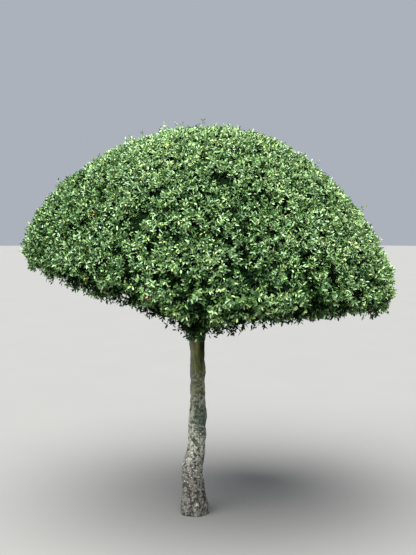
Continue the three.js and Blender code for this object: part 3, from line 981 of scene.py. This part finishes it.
# painted light on the left side, painted shade on the right side under the crown and a painted shadow under
# the fork
PAINTED_LIT_BARK = (0.32, 0.322, 0.255)
PAINTED_SHADE_UNDER_CROWN = (0.006, 0.008, 0.002)
PAINTED_FORK_SHADOW = (0.034, 0.038, 0.015)
MOSS = (0.064, 0.098, 0.07)
FLECK = (0.6, 0.59, 0.53)
LICHEN = (0.52, 0.53, 0.48)
CRACK = (0.03, 0.028, 0.022)
BLOOM = (0.06, 0.085, 0.04)
PORE = (0.2, 0.19, 0.13)
BARK_SHEEN = 0.08
# The heights between which one bark passes into the next
FOOT_ENDS = (0.2, 0.42)
GREY_ENDS = (0.56, 0.82)
# where the painted shade under the crown and the painted shadow under the fork fade in
CROWN_SHADE = (0.7, 0.9)
FORK_SHADE = (0.86, 0.98)
MOSS_BEGINS = (0.4, 0.46)
MOSS_ENDS = (0.55, 0.62)
SPOTS_END = (0.4, 0.54)
SPOTS_THIN = (0.1, 0.22)
# How far to the right of the trunk's foot its sides begin: the side with painted light, the side with
# painted shade and the mossy side
PAINTED_LIT_SIDE = (-0.024, 0.018)
SHADED_SIDE = (0.014, 0.037)
MOSSY_SIDE = (-0.012, 0.02)


def trunk_bark_finish():
    """Olive and smooth under the fork, grey and mottled below, with pale lichen near the ground; painted
    light on the left side, painted shade on the right side under the crown and a painted shadow under the
    fork.
    """
    bark = Finish("trunk bark", BARK_SHEEN)
    height = bark.axis("Z")
    side = bark.axis("X")
    grain = bark.noise(scale=90, detail=5, place=bark.stretched(5), distortion=0.5)
    wander = (bark.noise(scale=9, detail=3) - 0.5) * 0.5
    # painted light: the trunk's left side is lighter
    painted_lit_left = 1 - (side + wander * 0.04).between(*PAINTED_LIT_SIDE)
    spots = bark.noise(scale=30, detail=3) * 0.4 + bark.noise(scale=80, detail=3) * 0.6
    mottle = (spots + painted_lit_left * 0.02).between(0.42, 0.58)
    smooth = bark.blend(grain.between(0.32, 0.66), *SMOOTH_BARK)
    # painted light on the smooth bark's left side
    smooth = bark.blend(painted_lit_left * 0.7, smooth, PAINTED_LIT_BARK)
    # the pale plates, in painted light on the left and in painted shade on the right
    plates = (bark.noise(scale=40, detail=4) + painted_lit_left * 0.02).between(0.55, 0.59)
    grey = bark.blend(plates * 0.85, bark.blend(mottle, *GREY_BARK), bark.blend(painted_lit_left, *PLATE_BARK_SHADED_AND_LIT))
    foot = bark.blend(mottle, *FOOT_BARK)
    low_share = 1 - (height + wander).between(*GREY_ENDS)
    foot_share = 1 - (height + wander * 0.4).between(*FOOT_ENDS)
    colour = bark.blend(low_share, smooth, bark.blend(foot_share, grey, foot))
    # painted shade on the right side under the crown
    painted_right_shade = (side + wander * 0.03).between(*SHADED_SIDE) * height.between(*CROWN_SHADE)
    colour = bark.blend(painted_right_shade * 0.95, colour, PAINTED_SHADE_UNDER_CROWN)
    # painted shadow under the fork
    colour = bark.blend(height.between(*FORK_SHADE) * 0.6, colour, PAINTED_FORK_SHADOW)
    mossy_band = (height + wander * 0.1).between(*MOSS_BEGINS) * (1 - height.between(*MOSS_ENDS))
    moss = mossy_band * (side + wander * 0.1).between(*MOSSY_SIDE)
    colour = bark.blend(moss * 0.6, colour, MOSS)
    near_ground = 1 - (height + wander * 0.5).between(*SPOTS_THIN)
    spotted = 1 - (height + wander * 0.5).between(*SPOTS_END) - near_ground * 0.6
    clusters = bark.noise(scale=14, detail=2).between(0.36, 0.52)
    flecks = bark.noise(scale=110, detail=2).between(0.6, 0.63) * spotted * clusters
    lichen = bark.noise(scale=46, detail=4).between(0.62, 0.645) * spotted
    colour = bark.blend(flecks * 0.9, colour, FLECK)
    colour = bark.blend(lichen * 0.85, colour, LICHEN)
    plain = bark.from_cracks(scale=60, place=bark.stretched(2.2)).between(0.0, 0.09)
    colour = bark.blend((1 - plain) * low_share * 0.65, colour, CRACK)
    normal = bark.bump(grain * 0.4 + mottle * 0.5 + plain * 0.3, distance=0.004, strength=0.7)
    return bark.set(Base_Color=colour, Roughness=0.92 - lichen * 0.1, Normal=normal)


def limb_bark_finish(name, colours):
    """Smoother, darker bark with small pale pores and a green bloom."""
    bark = Finish(name, BARK_SHEEN)
    mottle = bark.noise(scale=60, detail=3)
    bloom = bark.noise(scale=14, detail=2).between(0.5, 0.7)
    pores = bark.noise(scale=240, detail=1).between(0.64, 0.7)
    colour = bark.blend(mottle.between(0.35, 0.68), *colours)
    colour = bark.blend(bloom * 0.5, colour, BLOOM)
    colour = bark.blend(pores * 0.4, colour, PORE)
    normal = bark.bump(mottle + pores * 0.4, distance=0.002, strength=0.5)
    return bark.set(Base_Color=colour, Roughness=0.85 - pores * 0.1, Normal=normal)


LEAF_TONES = (0.6, 1.35)  # a tint's darkest and lightest leaf, times its base colour
MOTTLE_SHARE = 0.3  # the rest of that comes from the leaf's own shade
RIB_LIGHT = (1.9, 0.01)  # the midrib is the base colour times the one plus the other
RIB_EDGE = (0.01, 0.05)  # from the leaf's middle, as shares of its width
RIB_SHARE = 0.5
LEANS = ((1.36, 1.02, 0.12), (0.66, 0.99, 2.05))  # what makes a colour lean to yellow and to blue
LEAN_TURNS = 7  # the lean goes from yellow to blue this many times as leaves get lighter
LEAN_SHARES = (0.45, 0.25)  # how much the darkest tints lean, and those as green as LIGHT_GREEN
LIGHT_GREEN = 0.4
DULLEST = 0.12  # how much rougher a leaf gets by its mottling


def toned(colour, times, plus=0):
    return tuple(min(1.0, part * times + plus) for part in colour)


def leaf_finish(tint, colour, roughness, sheen):
    """A glossy blade with a paler midrib; each leaf differs a little from its neighbour."""
    leaf = Finish(tint + " leaf", sheen)
    blade = leaf.node("UVMap", {"uv_map": UV_MAP}, {})
    shade = leaf.node("Attribute", {"attribute_name": SHADE}, {}, "Fac")
    mottle = leaf.noise(scale=45, detail=2)
    tones = (toned(colour, times) for times in LEAF_TONES)
    body = leaf.blend(shade * (1 - MOTTLE_SHARE) + mottle * MOTTLE_SHARE, *tones)
    rib = 1 - abs(leaf.axis("X", blade) - 0.5).between(*RIB_EDGE)
    body = leaf.blend(rib * RIB_SHARE, body, toned(colour, *RIB_LIGHT))
    lean = leaf.blend((shade * LEAN_TURNS).fraction(), *LEANS)
    body = leaf.blend(mix(*LEAN_SHARES, min(1, colour[1] / LIGHT_GREEN)), body, lean, "MULTIPLY")
    return leaf.set(Base_Color=body, Roughness=roughness + mottle * DULLEST)


# The plant
def finish_piece(piece, material, slot, *nodes):
    piece.data.materials.append(material)
    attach(piece, "root")
    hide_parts(*nodes)


def make_limbs():
    """The trunk, the leader, the boughs and their side limbs; gives back the limbs' courses."""
    finish_piece(model_trunk(), trunk_bark_finish(), "bark", "trunk")
    limbs = [("leader", leader_course(), LEADER_RADII)]
    for i, (name, degrees) in enumerate(BOUGHS):
        azimuth = math.radians(degrees)
        side_course = side_limb_course(azimuth, -1 if i % 2 else 1)
        limbs.append(("bough_" + name, bough_course(azimuth), BOUGH_RADII))
        limbs.append(("side_limb_" + name, side_course, SIDE_LIMB_RADII))
    bark = limb_bark_finish("bough bark", BOUGH_BARK_AND_SHADE)
    for name, course, radii in limbs:
        finish_piece(model_limb(name + "_bark", course, *radii), bark, "bough_bark", name)
    return joined([course for _, course, _ in limbs])


def shoot_places(random, chance):
    """The shoots' tips, the ways the skin faces there, and how deep they lie."""
    azimuths, alongs = skin_places(SHOOTS, random, LAST_SHOOT)
    on_skin = crown_points(azimuths, alongs, 0.0)
    facings = skin_facings(azimuths, alongs)
    low = low_down(on_skin)
    rise = (lumps(on_skin, *LUMPS) + lumps(on_skin, *SMALL_LUMPS)) * (1 + LOW_ROUGHNESS * low)
    depths = np.maximum(SKIN_REST - rise, SHALLOWEST) + chance.random(SHOOTS) * SKIN_JITTER
    pockets = np.maximum(lumps(on_skin, *POCKETS) - POCKET_LEVEL, 0) * mix(*POCKET_DEPTHS, low)
    depths += gap_depths(on_skin) + np.minimum(pockets, DEEPEST_POCKET)
    stray = chance.random(SHOOTS) < STRAY_SHARE
    depths = np.where(stray, -STRAY_REACH * chance.random(SHOOTS), depths)
    return on_skin - facings * depths[:, None], facings, depths


def hanging_places(chance):
    """The same for the sprays that hang below the clipped edge."""
    rim = chance.random(RIM_SPRAYS) * 2 * math.pi
    drops = chance.random(RIM_SPRAYS) * RIM_HANG
    rows = [(rim, np.full(RIM_SPRAYS, LAST_SHOOT), drops, np.full(RIM_SPRAYS, RIM_SHADE))]
    for degrees, along, spread, hang, count, shade in HANGING:
        azimuths = np.radians(degrees + chance.normal(size=count) * spread)
        drops = mix(LEAST_HANG, 1, chance.random(count)) * hang
        rows.append((azimuths, np.full(count, along), drops, np.full(count, shade)))
    azimuths, alongs, drops, shades = (np.concatenate(parts) for parts in zip(*rows))
    tips = crown_points(azimuths, alongs, SKIN_REST) - UP * drops[:, None]
    # shades is their painted shade, as a depth under the skin
    return tips, skin_facings(azimuths, alongs), shades


def spread_courses(parents, random, count, depth, growth):
    """Courses that end evenly spread under the skin, and the ways the skin faces there."""
    azimuths, alongs = skin_places(count, random, LAST_TWIG)
    courses = grown(parents, crown_points(azimuths, alongs, depth), *growth)
    return courses, skin_facings(azimuths, alongs)


def make_crown(limbs):
    """Branchings, branchlets, twigs and shoots, each grown from the one before, and their leaves."""
    random = Seeded(SEED)
    chance = np.random.default_rng(SEED)
    branchings = branching_courses(random, limbs, *BRANCHINGS)
    out_of_heart = unit(branchings.tips - branchings.feet)
    inner = joined([limbs, branchings])
    branchlets, branchlet_facings = spread_courses(inner, random, *BRANCHLETS, BRANCHLET_GROWTH)
    twigs, twig_facings = spread_courses(branchlets, random, *TWIGS, TWIG_GROWTH)
    places = zip(shoot_places(random, chance), hanging_places(chance))
    # for the hanging sprays, depths holds their painted shade
    tips, facings, depths = (np.concatenate(parts) for parts in places)
    shoots = grown(twigs, tips, *SHOOT_GROWTH)

    bark = limb_bark_finish("twig bark", TWIG_BARK)
    wood = [
        twig_piece("branchings", branchings, *BRANCHING_BUILD),
        twig_piece("branchlets", branchlets, *BRANCHLET_BUILD),
        twig_piece("twigs", twigs, *TWIG_BUILD),
        shoot_piece("shoots", shoots, SHOOT_RADIUS),
    ]
    for piece in wood:
        finish_piece(piece, bark, "foliage", "crown")

    freshness_and_painted_light = spray_freshness_and_painted_light(tips, depths, chance)
    growth = 1 + LOW_GROWTH * low_down(tips)
    kinds = [spray_leaves(shoots, facings, freshness_and_painted_light, growth, chance, LEAVES_ON_A_SHOOT)]
    hidden = (
        (shoots, facings, HIDDEN_ON_SHOOT),
        (twigs, twig_facings, HIDDEN_ON_TWIG),
        (branchlets, branchlet_facings, HIDDEN_ON_BRANCHLET),
        (branchings, out_of_heart, HIDDEN_ON_BRANCHING),
    )
    for courses, outward, (count, size, part) in hidden:
        # the hidden leaves take the near-black inner tint: painted shade
        freshness_and_painted_light = np.full(len(courses.tips), INNER)
        growth = size * (1 + LOW_GROWTH * low_down(courses.tips))
        kinds.append(spray_leaves(courses, outward, freshness_and_painted_light, growth, chance, count, part, FLAT_STANCE))
    leaves = joined(kinds)
    for index, (tint, _, colour, roughness, sheen) in enumerate(TINTS):
        chosen = leaves.chosen(leaves.tints == index)
        piece = leaf_piece("leaves_" + tint, chosen, tint == "inner", chance)
        finish_piece(piece, leaf_finish(tint, colour, roughness, sheen), "foliage", "crown")


# Stage, light and camera
FLOOR_RADIUS = 40
FLOOR_SIDES = 96
FLOOR_COLOURS = ((0.142, 0.142, 0.139), (0.15, 0.15, 0.147))
FLOOR_SHEEN = 0.5
PHOTO_WIDTH = 416
PHOTO_HEIGHT = 555
FOCAL_LENGTH = 950  # in pixels of that frame
HORIZON_ROW = 211
EYE_HEIGHT = 1.6
FOOT_DISTANCE = 4.946
FOOT_COLUMN = 194
SENSOR = 36.0  # millimetres along the frame's long side
SKY_COLOUR = (0.82, 0.89, 1.0)
SKY_STRENGTH = 0.5
KEY_COLOUR = (1.0, 0.99, 0.96)
KEY_STRENGTH = 13.5
KEY_SPREAD = 70  # degrees across
KEY_FROM = (-0.22, -0.55, 1.25)


def set_stage():
    bpy.ops.mesh.primitive_circle_add(vertices=FLOOR_SIDES, radius=FLOOR_RADIUS, fill_type="NGON")
    floor = bpy.context.object
    floor.name = "floor"
    paint = Finish("floor", FLOOR_SHEEN)
    colour = paint.blend(paint.noise(scale=1.5, detail=2), *FLOOR_COLOURS)
    floor.data.materials.append(paint.set(Base_Color=colour, Roughness=0.9))


def set_light():
    """A pale sky and one very wide, soft light from above, in front and a little to the left."""
    world = bpy.data.worlds.new("soft light")
    world.use_nodes = True
    background = world.node_tree.nodes["Background"]
    background.inputs["Color"].default_value = (*SKY_COLOUR, 1.0)
    background.inputs["Strength"].default_value = SKY_STRENGTH
    bpy.context.scene.world = world
    data = bpy.data.lights.new("key", "SUN")
    data.energy = KEY_STRENGTH
    data.angle = math.radians(KEY_SPREAD)
    data.color = KEY_COLOUR
    placed("key", data).rotation_euler = (-Vector(KEY_FROM)).to_track_quat("-Z", "Y").to_euler()
    bpy.context.scene.view_settings.view_transform = "Standard"


def set_camera():
    data = bpy.data.cameras.new("camera")
    data.sensor_width = SENSOR
    data.lens = FOCAL_LENGTH / PHOTO_HEIGHT * SENSOR
    camera = placed("camera", data)
    aside = (PHOTO_WIDTH / 2 - FOOT_COLUMN) * FOOT_DISTANCE / FOCAL_LENGTH
    camera.location = (aside, -FOOT_DISTANCE, EYE_HEIGHT)
    tilt = math.atan((PHOTO_HEIGHT / 2 - HORIZON_ROW) / FOCAL_LENGTH)
    camera.rotation_euler = (math.pi / 2 - tilt, 0, 0)
    bpy.context.scene.camera = camera


make_crown(make_limbs())
deselect_all()
set_stage()
set_light()
set_camera()
